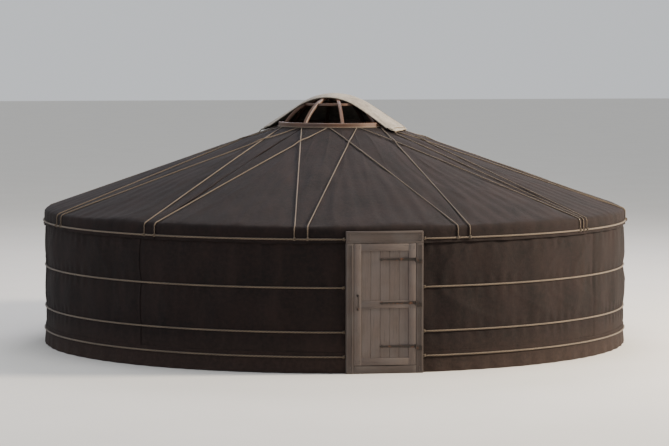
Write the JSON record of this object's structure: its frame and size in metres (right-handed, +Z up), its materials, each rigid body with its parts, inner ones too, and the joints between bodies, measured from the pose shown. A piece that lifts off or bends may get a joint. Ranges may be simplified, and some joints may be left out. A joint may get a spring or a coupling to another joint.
{
  "type": "felt yurt with a lattice wall",
  "caption": "Round felt-covered yurt: lattice wall, pole roof up to a domed wooden crown with a pale cover, columns, plank floor and a hinged plank door.",
  "frame": {"origin": "on the ground at the middle of the floor, which is the centre of the round wall", "axes": "+Z up; the door faces -Y; +X to the right of a person who faces the door"},
  "size_m": [9.6537, 9.7307, 4.094],
  "materials": {
    "floor_wood": "worn unpainted planks",
    "lattice_wood": "split and shaved willow laths, smoke-browned",
    "pole_wood": "shaved poles, smoke-browned",
    "crown_wood": "oiled brown wood",
    "frame_wood": "weathered wood",
    "leaf_wood": "weathered wood",
    "hinge_iron": "forged, dull",
    "dark_felt": "matted dark-brown wool felt",
    "pale_felt": "greyish undyed wool felt",
    "hair_rope": "twisted horsehair"
  },
  "bodies": {
    "yurt": {"floor_left": "floor_wood", "floor_middle": "floor_wood", "floor_right": "floor_wood", "lattice_1": "lattice_wood", "lattice_2": "lattice_wood", "lattice_3": "lattice_wood", "lattice_4": "lattice_wood", "lattice_5": "lattice_wood", "lattice_6": "lattice_wood", "lattice_7": "lattice_wood", "lattice_8": "lattice_wood", "roof_poles_front": "pole_wood", "roof_poles_right": "pole_wood", "roof_poles_back": "pole_wood", "roof_poles_left": "pole_wood", "crown_rim": "crown_wood", "crown_wheel": "crown_wood", "crown_hub": "crown_wood", "column_front_right": "crown_wood", "column_back_right": "crown_wood", "column_back_left": "crown_wood", "column_front_left": "crown_wood", "jamb_left": "frame_wood", "jamb_right": "frame_wood", "door_head": "frame_wood", "door_sill": "frame_wood", "hinge_pins": "hinge_iron", "wall_felt_front_right": "dark_felt", "wall_felt_back_right": "dark_felt", "wall_felt_back_left": "dark_felt", "wall_felt_front_left": "dark_felt", "roof_felt_front": "dark_felt", "roof_felt_right": "dark_felt", "roof_felt_back": "dark_felt", "roof_felt_left": "dark_felt", "crown_cover": "pale_felt", "crown_cover_ropes": "hair_rope", "belt_foot": "hair_rope", "belt_low": "hair_rope", "belt_middle": "hair_rope", "belt_top": "hair_rope", "roof_ropes": "hair_rope"},
    "door": {"door_leaf": "leaf_wood", "door_straps": "hinge_iron", "door_handle": "hinge_iron"}
  },
  "joints": [
    {"name": "door_hinge", "type": "hinge", "parent": "yurt", "child": "door", "pos_m": [0.4725, -4.85465, 1.04], "axis": [0, 0, 1], "range_deg": [0, 110]}
  ]
}
